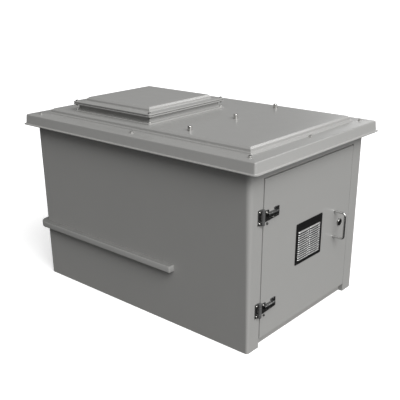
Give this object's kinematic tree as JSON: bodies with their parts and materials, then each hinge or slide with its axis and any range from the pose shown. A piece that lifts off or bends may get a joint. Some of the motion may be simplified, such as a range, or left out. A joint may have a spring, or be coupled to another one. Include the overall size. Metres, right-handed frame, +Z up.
{
  "type": "roadside utility cabinet",
  "caption": "Low moulded roadside utility cabinet with a hinged, vented end door, an overhanging bolted lid, a bolted roof hatch and a rubbing band.",
  "frame": {"origin": "centre of the outer box at the ground", "axes": "+Z up, +X along the long side towards the door end, +Y to the right as seen by someone who faces the door from outside"},
  "size_m": [1.3292, 0.8952, 0.869],
  "materials": {
    "grey_grp": "semi-gloss moulded gel coat, warm light grey",
    "band_grp": "semi-gloss moulded gel coat, a little darker",
    "seal_rubber": "soft black sponge seal",
    "stainless": "bright stainless fasteners",
    "chrome_bar": "polished bar and lock face",
    "black_plastic": "black moulded plastic, light sheen",
    "hinge_black": "black powder coat on cast metal",
    "steel_mesh": "fine woven mesh",
    "zinc_steel": "zinc plated steel",
    "plywood": "clear sealed plywood",
    "batten_wood": "planed softwood"
  },
  "bodies": {
    "cabinet": {"back_board": "plywood", "board_battens": "batten_wood", "board_screws": "zinc_steel", "body_shell": "grey_grp", "cover_bolts": "stainless", "cover_nuts": "stainless", "cover_washers": "stainless", "curb_bolts": "stainless", "curb_nuts": "stainless", "curb_washers": "stainless", "frame_leaf_lower": "hinge_black", "frame_leaf_screws": "stainless", "frame_leaf_upper": "hinge_black", "hatch_cover": "grey_grp", "hatch_curb": "grey_grp", "hatch_gasket": "seal_rubber", "hinge_pin_lower": "stainless", "hinge_pin_upper": "stainless", "lid_bolts": "stainless", "lid_gasket": "seal_rubber", "lid_nuts": "stainless", "lid_washers": "stainless", "roof_batten": "batten_wood", "roof_lid": "grey_grp", "roof_nuts": "stainless", "roof_studs": "stainless", "roof_washers": "stainless", "strike_plate": "stainless", "wall_band": "band_grp"},
    "door": {"door_panel": "grey_grp", "door_seal": "seal_rubber", "door_leaf_upper": "hinge_black", "door_leaf_lower": "hinge_black", "door_leaf_screws": "stainless", "hinge_buffers": "hinge_black", "vent_grille": "black_plastic", "insect_mesh": "steel_mesh", "vent_screws": "stainless", "pull_handle": "chrome_bar", "handle_screws": "zinc_steel", "lock_barrel": "chrome_bar", "lock_nut": "zinc_steel"},
    "lock_plug_body": {"lock_plug": "black_plastic", "lock_cam": "zinc_steel", "cam_screw": "zinc_steel"}
  },
  "joints": [
    {"name": "door_hinge", "type": "hinge", "parent": "cabinet", "child": "door", "pos_m": [0.61515, -0.334, 0.35931], "axis": [-0.0157, 0, -0.9999], "range_deg": [0, 110]},
    {"name": "lock_turn", "type": "hinge", "parent": "door", "child": "lock_plug_body", "pos_m": [0.61575, 0.24, 0.3658], "axis": [0.9999, 0, -0.0157], "range_deg": [0, 90]}
  ]
}
